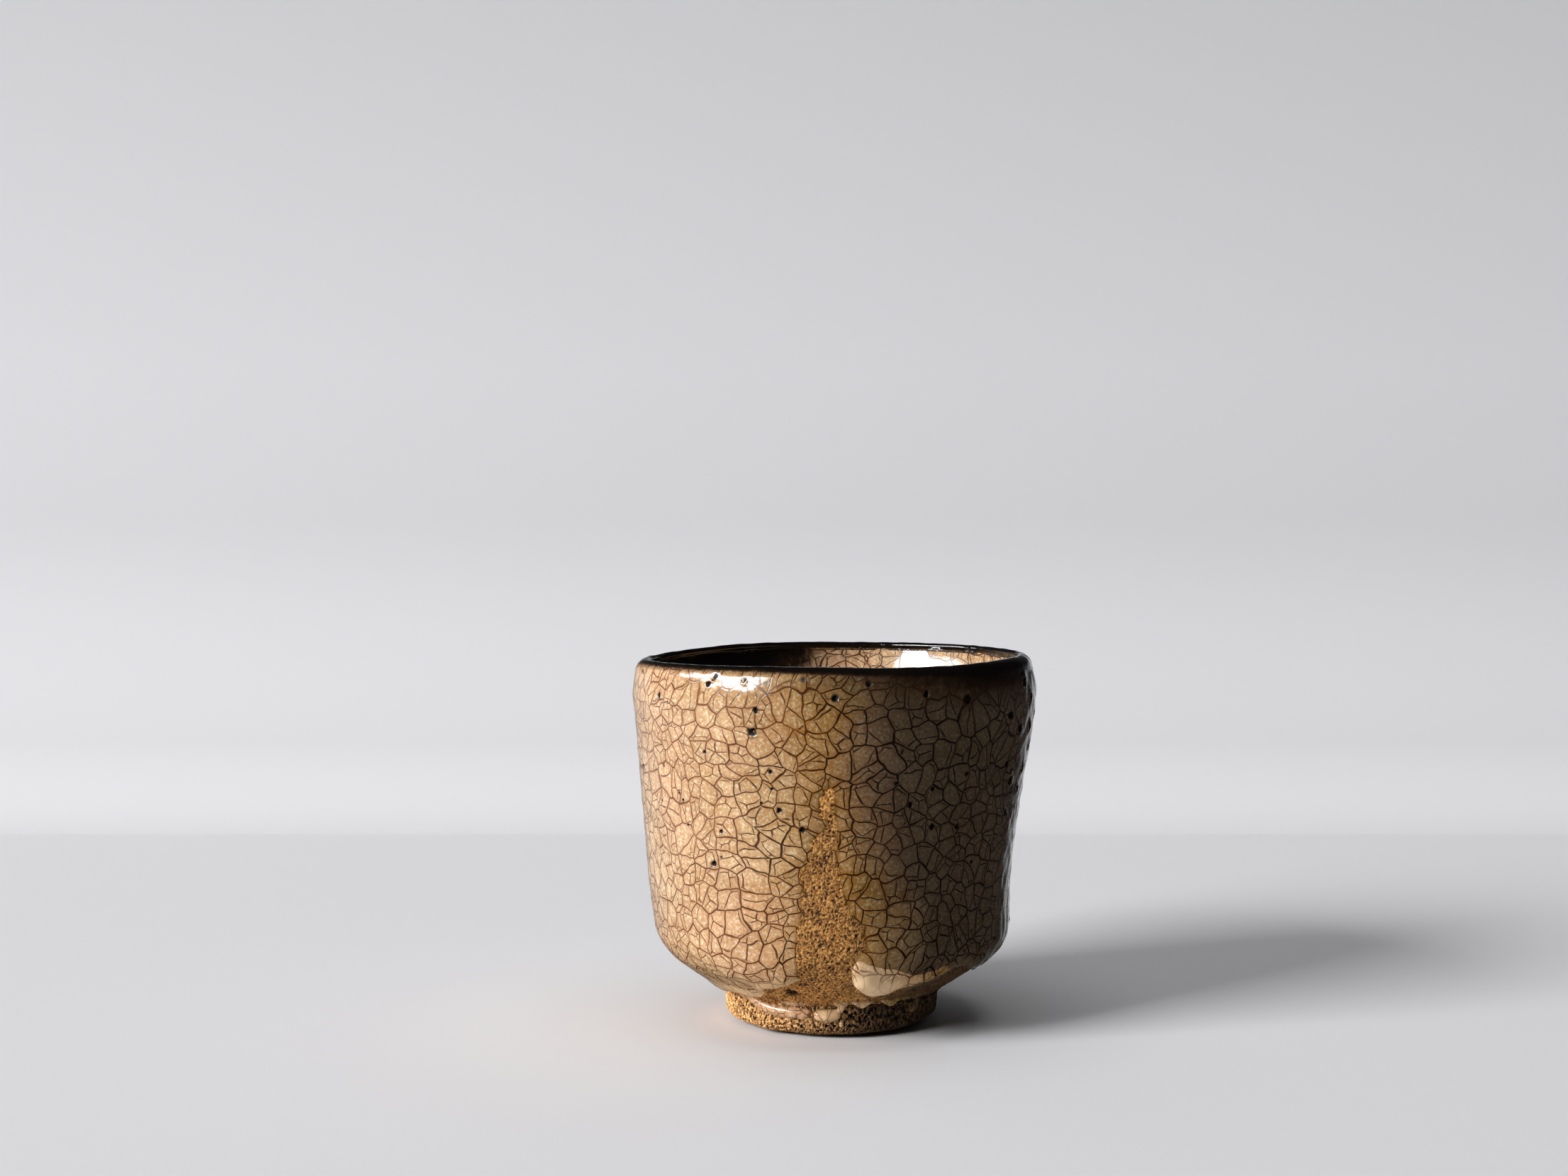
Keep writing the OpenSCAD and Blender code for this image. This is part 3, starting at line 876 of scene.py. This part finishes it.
def gritHeight(co):
    stretched = Vector((co.x, co.y, co.z * clayBody["gritStretch"]))
    worm = 1 - clayBody["wormCut"] * abs(noise.noise(stretched / clayBody["gritSize"]))
    fine = noise.noise(co / clayBody["fineSize"] + clayBody["fineShift"])
    return clayBody["wormShare"] * worm + clayBody["fineShare"] * fine - clayBody["gritBase"]


def makeClayBody(material):
    footInside = bowl["footRadius"] - bowl["footWidth"]
    baseTop = bowl["footHeight"] + bowl["baseDome"]
    base = evenPath([Vector((0, baseTop)), Vector((footInside, bowl["footHeight"]))], clayBody["spacing"])
    seatPath = evenPath([base[-1], Vector(seat[:2])], clayBody["spacing"])
    wall = evenPath(clayPath[:crest + 1], clayBody["spacing"])
    well = evenPath(clayPath[crest:], clayBody["spacing"])
    bm = spinPath(base + seatPath[1:] + wall[1:] + well[1:], clayBody["steps"])
    bare = []
    under = []
    for face in bm.faces:
        centre = face.calc_center_median()
        span = math.hypot(centre.x, centre.y)
        if span < footInside and centre.z < baseTop + 0.1:
            under.append(face)
        elif span > wallRadius(centre.z) - 1 and centre.z > bowl["footHeight"] + 0.2:
            if glazeCover(angleOf(centre), centre.z)[0] < clayBody["bareTo"]:
                bare.append(face)
    refine(bm, bare, clayBody["cuts"])
    refine(bm, [face for face in under if face.is_valid], clayBody["baseCuts"])
    layers = addLayers(bm, "grain", "pit")
    moves = []
    for vert in bm.verts:
        span = math.hypot(vert.co.x, vert.co.y)
        z = vert.co.z
        grit = gritHeight(vert.co)
        lump = noise.noise(vert.co / clayBody["lumpSize"])
        showing = 0.0
        proud = 0.0
        if span > wallRadius(z) - 0.6 and z > bowl["footHeight"]:
            cover, _, beside = glazeCover(angleOf(vert.co), z)
            showing = 1 - ease(cover / clayBody["openOver"])
            proud = clayBody["proud"] * ease(2 - beside / clayBody["proudOver"])
            proud *= ease((z - clayBody["proudFrom"]) / clayBody["proudRise"])
        elif span < footInside and z < bowl["floorHeight"] - 3:
            showing = 1.0
        rough = 1 + tornHole["rough"] * noise.noise(vert.co / tornHole["roughSize"])
        hole = max(bell((vert.co - spot).length * rough, reach) for spot, reach in hollows)
        grain = clayBody["grit"] * grit + clayBody["lumps"] * lump - clayBody["sunk"] - tornHole["depth"] * hole
        moves.append(showing * grain + proud)
        vert[layers["grain"]] = clayBody["gritTone"] * grit + clayBody["lumpTone"] * lump + clayBody["tone"]
        # the torn hollow is painted near black: painted shade in the hole
        vert[layers["pit"]] = ease(hole * tornHole["darkTimes"] - tornHole["darkFrom"])
    shapeAndPush(bm, moves)
    return finishPiece(bm, "clayBody", "clay_body", material)


# Foot ring: a thick coil of the same clay, torn and pitted by the trimming tool
footRing = {
    "spacing": 0.28,
    "steps": 660,
    "rise": 2.0,  # let into the lifted underside
    "topRound": 0.5,
    "innerTopRound": 0.4,
    "baseRound": 3.3,
    "grit": 0.4,
    "gritShare": 1.3,
    "gritStretch": 0.6,
    "tears": 0.7,
    "tearSize": 0.42,
    "tearStretch": 0.4,
    "tearFrom": 0.1,
    "tearOver": 0.3,
    "sway": 0.35,
    "swaySize": 9.0,
    "trim": 0.25,
    "taper": 0.9,
    "sidePush": 0.8,
    "sideAt": (80, 45),  # angle and spread
    "gritTone": 0.5,
    "tone": 0.5,
    "tornShade": 0.35,
    "pitFrom": 0.9,
}


def makeFootRing(material):
    outer = bowl["footRadius"]
    inner = outer - bowl["footWidth"]
    top = bowl["footHeight"] + footRing["rise"]
    middle = (outer + inner) / 2
    corners = [(middle, 0, 0), (outer, 0, footRing["baseRound"]), (outer, top, footRing["topRound"]),
               (inner, top, footRing["innerTopRound"]), (inner, 0, bowl["footInnerRound"]), (middle, 0, 0)]
    bm = spinPath(evenPath(roundedPath(corners), footRing["spacing"])[:-1], footRing["steps"], closed=True)
    layers = addLayers(bm, "grain", "pit")
    bm.normal_update()
    side, spread = footRing["sideAt"]
    moves = []
    for vert in bm.verts:
        x, y, z = vert.co
        grit = gritHeight(Vector((x, y, z * footRing["gritStretch"])) * footRing["gritShare"])
        tear = noise.noise(Vector((x, y, z * footRing["tearStretch"])) / footRing["tearSize"])
        torn = ease((tear - footRing["tearFrom"]) / footRing["tearOver"])
        sway = footRing["sway"] * noise.noise(vert.co / footRing["swaySize"])
        push = footRing["sidePush"] * bell(turnBetween(angleOf(vert.co), side), spread)
        taper = footRing["taper"] * (1 - z / top)
        move = footRing["grit"] * grit - footRing["tears"] * torn + sway
        moves.append(move - footRing["trim"] - push - taper)
        # torn hollows made darker and their pits near black: painted shade
        vert[layers["grain"]] = footRing["gritTone"] * grit + footRing["tone"] - footRing["tornShade"] * torn
        vert[layers["pit"]] = torn * ease(footRing["pitFrom"] - grit)
    for vert, move in zip(bm.verts, moves):
        vert.co += vert.normal * move
        vert.co.z = max(vert.co.z, 0.0)
    return finishPiece(bm, "footRing", "foot_ring", material)


# Runs of thick glaze: drops melted together on the clay
melting = {
    "joint": 8.2,  # height above which drops lie on the wall
    "footSide": [(0, 26.0), (3, 28.6), (6, 29.0), (8.2, 29.0)],  # height and radius below it
    "roundness": 3,
    "settle": 0.5,
    "settleTurns": 18,
}
footSide = curveThrough(melting["footSide"])


def meltDrops(name, node, material, drops, voxel):
    bm = bmesh.new()
    for degrees, z, radius, proud in drops:
        onWall = z > melting["joint"]
        normal = wallNormal(z) if onWall else Vector((1, 0))
        centre = Vector((wallRadius(z) if onWall else footSide(z), z)) + normal * (proud - radius)
        place = handShape(onRing(math.radians(degrees), centre.x, centre.y))
        bmesh.ops.create_icosphere(bm, subdivisions=melting["roundness"], radius=radius,
                                   matrix=Matrix.Translation(place))
    piece = finishPiece(bm, name, node, material)
    melt = piece.modifiers.new("melt", "REMESH")
    melt.mode = "VOXEL"
    melt.voxel_size = voxel * mm
    melt.use_smooth_shade = True
    settle = piece.modifiers.new("settle", "SMOOTH")
    settle.factor = melting["settle"]
    settle.iterations = melting["settleTurns"]
    return piece


def dropsAlong(points, count):  # points are angle, height, radius, proud
    drops = []
    for i in range(count):
        at = i * (len(points) - 1) / (count - 1)
        k = min(int(at), len(points) - 2)
        drops.append([a + (b - a) * (at - k) for a, b in zip(points[k], points[k + 1])])
    return drops


glazeDrip = {  # lobes are chains of angle, height, radius and how proud they stand
    "spacing": 0.33,
    "from": (2.0, 11.0),  # first angle and height of the patch
    "to": (56.0, 30.0),
    "wall": 0.9,
    "edgeRound": 2.9,
    "soft": 0.7,  # how the lobes melt together
    "wander": 0.25,
    "wanderSize": 3.0,
    "skirt": -1.5,  # how far outside the outline the skin goes on, sinking into the glaze
    "skirtSlope": 0.4,
    "keepTo": -0.5,
    "milk": (14.0, 33.0),  # angles between which it clears
    "middle": 17.0,  # height above which it clears into the glaze
    "clearOver": 2.5,
    "clearDepth": 0.9,
    "lobes": [
        [(8.8, 25.0, 2.2, 0.45), (8.9, 21.4, 2.8, 1.3), (10.2, 18.8, 3.2, 2.5), (13.2, 17.2, 3.4, 2.9),
         (16.5, 17.0, 3.0, 2.6)],
        [(16.5, 17.0, 3.0, 2.6), (20.5, 17.5, 2.6, 2.0), (26, 18.0, 2.5, 1.6), (32, 18.7, 2.3, 1.4),
         (38, 19.9, 2.1, 1.2), (44, 21.3, 1.8, 1.0), (50, 21.6, 1.2, 0.7)],
        [(12, 20.6, 3.2, 1.2), (18, 20.2, 3.0, 1.0), (25, 19.6, 2.0, 0.9)],
    ],
}


def lobeLinks():
    links = []
    for lobe in glazeDrip["lobes"]:
        spots = [(Vector((wallRadius(z) * math.radians(degrees), wallArc(z))), radius, proud)
                 for degrees, z, radius, proud in lobe]
        links += zip(spots, spots[1:])
    return links


dripLinks = lobeLinks()


def dripAt(spot):  # how far inside the outline a spot lies, and how proud the glaze stands there
    total = 0.0
    height = 0.0
    for (start, radiusA, proudA), (end, radiusB, proudB) in dripLinks:
        along = end - start
        share = min(max((spot - start).dot(along) / along.length_squared, 0.0), 1.0)
        depth = radiusA + (radiusB - radiusA) * share - (spot - start - along * share).length
        weight = math.exp(max(depth, -9.0) / glazeDrip["soft"])
        total += weight
        height += weight * (proudA + (proudB - proudA) * share)
    return glazeDrip["soft"] * math.log(total), height / total


def makeGlazeDrip(material):
    firstAngle, firstHeight = glazeDrip["from"]
    lastAngle, lastHeight = glazeDrip["to"]
    milkStart, milkEnd = glazeDrip["milk"]
    lowArc, highArc = wallArc(firstHeight), wallArc(lastHeight)
    middleArc = wallArc(glazeDrip["middle"])
    across = round(math.radians(lastAngle - firstAngle) * bowl["hipRadius"] / glazeDrip["spacing"])
    upward = round((highArc - lowArc) / glazeDrip["spacing"])
    bm = bmesh.new()
    bmesh.ops.create_grid(bm, x_segments=across, y_segments=upward, size=0.5)
    layers = addLayers(bm, "arc", "thick")
    depths = []
    for vert in bm.verts:
        angle = math.radians(firstAngle + (lastAngle - firstAngle) * (vert.co.x + 0.5))
        arc = lowArc + (highArc - lowArc) * (vert.co.y + 0.5)
        along = arc / outsideSpacing
        k = min(int(along), len(outside) - 2)
        point = outside[k].lerp(outside[k + 1], along - k)
        spot = Vector((point.x * angle, arc, 2.0))
        within, proud = dripAt(spot.xy)
        within += glazeDrip["wander"] * noise.noise(spot / glazeDrip["wanderSize"])
        rise = min(max(within / glazeDrip["edgeRound"], 0.0), 1.0)
        depth = proud * math.sqrt(1 - (1 - rise) ** 2)
        if within < 0:
            depth = max(within, glazeDrip["skirt"]) * glazeDrip["skirtSlope"]
        depths.append(depth)
        level = ease((arc - middleArc) / glazeDrip["clearOver"])
        level *= 1 - ease((depth - outerGlaze["coat"]) / glazeDrip["clearDepth"])
        vert[layers["arc"]] = arc
        vert[layers["thick"]] = ease((milkEnd - math.degrees(angle)) / (milkEnd - milkStart)) * (1 - level)
        vert.co = handShape(onRing(angle, point.x, point.y))
    bm.normal_update()
    if max(bm.faces, key=lambda f: f.calc_center_median().z).normal.y > 0:
        bmesh.ops.reverse_faces(bm, faces=bm.faces)
        bm.normal_update()
    for vert, depth in zip(bm.verts, depths):
        vert.co += vert.normal * depth
    sunk = {vert for vert, depth in zip(bm.verts, depths) if depth < glazeDrip["keepTo"]}
    bmesh.ops.delete(bm, geom=[face for face in bm.faces if all(vert in sunk for vert in face.verts)],
                     context="FACES")
    return finishPiece(bm, "glazeDrip", "glaze_drip", material, glazeDrip["wall"])


footBeads = {  # chains of drops: angle, height, radius and how proud they stand
    "voxel": 0.2,
    "counts": {"bead": 7, "tear": 7, "smallTear": 3, "firstLens": 9, "secondLens": 9, "trace": 8,
               "sideRun": 13},
    "bead": [(-8.2, 6.0, 1.5, 1.1), (-4, 5.9, 1.9, 1.5), (0.2, 6.2, 1.5, 1.1)],
    "tear": [(1.0, 9.0, 1.1, 0.7), (5.0, 9.0, 1.1, 0.7), (3.2, 8.0, 1.1, 1.1), (3.0, 7.2, 0.8, 0.9)],
    "smallTear": [(3.2, 4.4, 0.8, 0.3), (3.2, 3.7, 0.6, 0.2)],
    "firstLens": [(9.0, 9.3, 0.7, 0.4), (13.4, 8.8, 1.4, 1.4), (17.8, 9.3, 0.7, 0.4)],
    "secondLens": [(24.0, 9.3, 0.7, 0.4), (28.7, 8.8, 1.4, 1.4), (33.4, 9.3, 0.7, 0.4)],
    "trace": [(36, 9.3, 0.8, 0.45), (42, 9.6, 0.8, 0.5), (49, 9.9, 0.8, 0.4)],
    "sideRun": [(45.2, 8.4, 1.3, 0.08), (49.5, 8.2, 1.3, 0.08), (48.5, 6.2, 1.3, 0.08), (45.8, 6.0, 1.3, 0.08)],
}
footStreak = {
    "voxel": 0.22,
    "counts": {"streak": 34, "upperLens": 9},
    "streak": [(-53, 9.1, 1.0, 0.6), (-45, 7.9, 1.5, 1.0), (-37, 6.8, 1.7, 1.1), (-28.7, 6.4, 1.7, 1.1),
               (-21, 6.3, 1.6, 1.0), (-14.5, 6.4, 1.2, 0.8)],
    "drops": [(-40, 6.4, 1.2, 0.7), (-30, 5.6, 1.1, 0.6), (-24, 5.4, 1.0, 0.55), (-17, 5.6, 1.0, 0.55)],
    "upperLens": [(-27, 9.0, 0.8, 0.4), (-21, 8.7, 1.1, 0.8), (-15.5, 8.6, 0.8, 0.4)],
}


def makeRuns(beadGlaze, streakGlaze):
    drops = []
    for name, count in footBeads["counts"].items():
        drops += dropsAlong(footBeads[name], count)
    meltDrops("footBeads", "foot_beads", beadGlaze, drops, footBeads["voxel"])
    counts = footStreak["counts"]
    drops = dropsAlong(footStreak["streak"], counts["streak"]) + footStreak["drops"]
    drops += dropsAlong(footStreak["upperLens"], counts["upperLens"])
    meltDrops("footStreak", "foot_streak", streakGlaze, drops, footStreak["voxel"])


makeClayBody(gritClay("coarseStoneware", dark="#341C08", middle="#9E692D", light="#DCA862", grainSize=0.5,
                      roughness=0.82, smoke=(-4.0, 22.0, 0.96, 0.18)))
makeFootRing(gritClay("tornStoneware", dark="#281608", middle="#A07240", light="#E2B67E", grainSize=0.5,
                      roughness=0.85, smoke=(-27.0, 13.0, 1.26, 0.15)))
makeOuterGlaze(crazedGlaze("crazedFeldsparGlaze"))
makeRimGlaze(crazedGlaze("ironWashedGlaze", roughness=0.1))
makeInnerGlaze(crazedGlaze("crazedLiningGlaze", patternRadius=46.0, floorRadius=30.0, smoke=1.0))
makeGlazeDrip(crazedGlaze("milkyRunGlaze", smoke=0.3, smokeFrom=24.0, smokeTo=48.0))
makeRuns(
    crazedGlaze("milkyBeadGlaze", cream="#C29E6C", thickCream="#DFBC86", byHeight=True, thickness=0.6,
                patternRadius=30.0, cells=(4.0, 4.0), smoke=0.2, smokeFrom=22.0, smokeTo=31.0, roughness=0.14),
    crazedGlaze("milkyStreakGlaze", cream="#C4996B", thickCream="#E1B685", byHeight=True, thickness=0.35,
                patternRadius=30.0, cells=(3.6, 3.6), smoke=0.6, roughness=0.2),
)

# Stage: a white table top, and a sheet of white paper that turns up behind it
whitePaper = {"front": -9.0, "turn": 0.33, "back": 0.46, "height": 2.4, "tableSide": 9.0, "paperSide": 0.62,
              "turnSteps": 12, "paintedLightBand": (0.0, 0.03), "paintedShadeBand": (0.2, 0.37)}  # heights of the painted light at its foot and of the painted shade towards its top


def mattPaper(name, shown, bounced, paintedFootLight=1.0, top=1.0):  # painted light at the paper's foot and painted shade towards its top: the two say how light it is there
    material, tree, shader, add = newMaterial(name)
    rays = add("LightPath", out=None)
    place = add("TexCoord", out="Object")
    height = add("SeparateXYZ", (place,), out=2)
    low = add("MapRange", (height, *whitePaper["paintedLightBand"], paintedFootLight, 1.0))
    high = add("MapRange", (height, *whitePaper["paintedShadeBand"], 1.0, top))
    shade = add("Math", (low, high), operation="MULTIPLY")
    paper = add("Mix", {0: rays["Is Diffuse Ray"], 6: hexColour(shown), 7: hexColour(bounced)},
                data_type="RGBA", out=2)
    paper = add("HueSaturation", {"Value": shade, "Color": paper})
    tree.links.new(paper, shader.inputs["Base Color"])
    shader.inputs["Roughness"].default_value = 0.95
    shader.inputs["Specular IOR Level"].default_value = 0.1
    return material


def makePaper(name, path, side, material):
    bm = bmesh.new()
    row = [bm.verts.new((-side, y, z)) for y, z in path]
    edges = [bm.edges.new(pair) for pair in zip(row, row[1:])]
    made = bmesh.ops.extrude_edge_only(bm, edges=edges)["geom"]
    bmesh.ops.translate(bm, vec=(2 * side, 0, 0),
                        verts=[v for v in made if isinstance(v, bmesh.types.BMVert)])
    bmesh.ops.recalc_face_normals(bm, faces=bm.faces)
    sheet = placeMesh(bm, name, material)
    return sheet


def paperTurn():
    reach = whitePaper["back"] - whitePaper["turn"]
    path = []
    for k in range(whitePaper["turnSteps"] + 1):
        angle = math.pi / 2 * k / whitePaper["turnSteps"]
        path.append((whitePaper["turn"] + reach * math.sin(angle), reach * (1 - math.cos(angle))))
    return path + [(whitePaper["back"], whitePaper["height"])]


table = makePaper("tableTop", [(whitePaper["front"], 0.0), (whitePaper["turn"], 0.0)], whitePaper["tableSide"],
                  mattPaper("mattTable", "#E0E0E3", "#E4E4E6"))
backPaper = makePaper("backPaper", paperTurn(), whitePaper["paperSide"],
                      mattPaper("mattPaper", "#CFCFD2", "#9A9A9A", paintedFootLight=1.22, top=0.85))
for sheet in (table, backPaper):  # the glaze mirrors the room instead
    sheet.visible_glossy = False
print("stage made")

# Light: a tall window to the left, a soft glow from the ceiling, and dim surroundings
softLights = {
    "windowLight": {"angle": -58, "rise": 25, "distance": 7.0, "width": 3.0, "height": 2.2, "power": 650,
                    "shine": True},
    "ceilingLight": {"angle": 0, "rise": 89, "distance": 2.2, "width": 1.8, "height": 1.8, "power": 17,
                     "shine": False},
}


def makeLight(name, light):
    angle = math.radians(light["angle"])
    rise = math.radians(light["rise"])
    lamp = bpy.data.lights.new(name, "AREA")
    lamp.shape = "RECTANGLE"
    lamp.size = light["width"]
    lamp.size_y = light["height"]
    lamp.energy = light["power"]
    holder = bpy.data.objects.new(name, lamp)
    holder.location = onRing(angle, math.cos(rise), math.sin(rise)) * light["distance"]
    holder.rotation_euler = (-holder.location).to_track_quat("-Z", "Y").to_euler()
    holder.visible_glossy = light["shine"]
    stage.collection.objects.link(holder)


mirroredRoom = {
    "shades": {  # axis, from, to, and the light at both: a bright wall behind and to the left, the rest dim
        "behind": (1, 0.76, 0.97, 0.03, 0.8),
        "aside": (0, -0.1, 0.1, 0.45, 1.0),
        "left": (0, -0.25, -0.7, 0.0, 0.8),
        "low": (2, -0.4, -0.18, 0.05, 1.0),
        "high": (2, 0.02, 0.14, 1.0, 0.05),
    },
    "pane": [  # the far half of the window, which only shows as a mirror image
        (0, -0.3, -0.5, 0.0, 22.0), (1, -0.35, -0.31, 0.0, 1.0), (1, 0.26, 0.22, 0.0, 1.0),
        (2, 0.27, 0.3, 0.0, 1.0), (2, 0.56, 0.53, 0.0, 1.0),
    ],
    "seen": 0.56,  # what the camera sees past the paper
    "fill": 0.01,
}


def makeRoom():
    world = bpy.data.worlds.new("paleRoom")
    stage.world = world
    world.use_nodes = True
    tree = world.node_tree
    add = partial(addNode, tree)
    rays = add("LightPath", out=None)
    towards = add("TexCoord", out="Generated")
    axes = add("SeparateXYZ", (towards,), out=None)
    shades = {}
    for key, (axis, *span) in mirroredRoom["shades"].items():
        shades[key] = add("MapRange", (axes[axis], *span))
    behind = add("Math", (shades["behind"], shades["aside"]), operation="MULTIPLY")
    both = add("Math", (behind, shades["left"]), operation="ADD")
    band = add("Math", (shades["low"], shades["high"]), operation="MULTIPLY")
    mirrored = add("Math", (both, band), operation="MULTIPLY")
    pane = 1.0
    for axis, *span in mirroredRoom["pane"]:
        part = add("MapRange", (axes[axis], *span))
        pane = add("Math", (pane, part), operation="MULTIPLY")
    room = add("Math", (mirrored, pane), operation="ADD")
    shine = add("Math", (rays["Is Glossy Ray"], room), operation="MULTIPLY")
    seen = add("Math", (rays["Is Camera Ray"], mirroredRoom["seen"], mirroredRoom["fill"]),
               operation="MULTIPLY_ADD")
    shown = add("Math", (shine, seen), operation="ADD")
    backing = tree.nodes["Background"]
    backing.inputs["Color"].default_value = hexColour("#F2F4F8")
    tree.links.new(shown, backing.inputs["Strength"])
    stage.view_settings.view_transform = "Standard"


for lightName, lightSizes in softLights.items():
    makeLight(lightName, lightSizes)
makeRoom()

# Camera: where the photograph was taken from, in millimetres and degrees
photoCamera = {"place": (-13.2, -610.0, 140.3), "pitch": 2.29, "lens": 52.08, "sensor": 36.0}


def makeCamera():
    lens = bpy.data.cameras.new("photoCamera")
    lens.lens = photoCamera["lens"]
    lens.sensor_width = photoCamera["sensor"]
    lens.sensor_fit = "HORIZONTAL"
    lens.clip_start = 0.01
    holder = bpy.data.objects.new("photoCamera", lens)
    holder.location = Vector(photoCamera["place"]) * mm
    holder.rotation_euler = (math.radians(90 - photoCamera["pitch"]), 0, 0)
    stage.collection.objects.link(holder)
    stage.camera = holder


makeCamera()
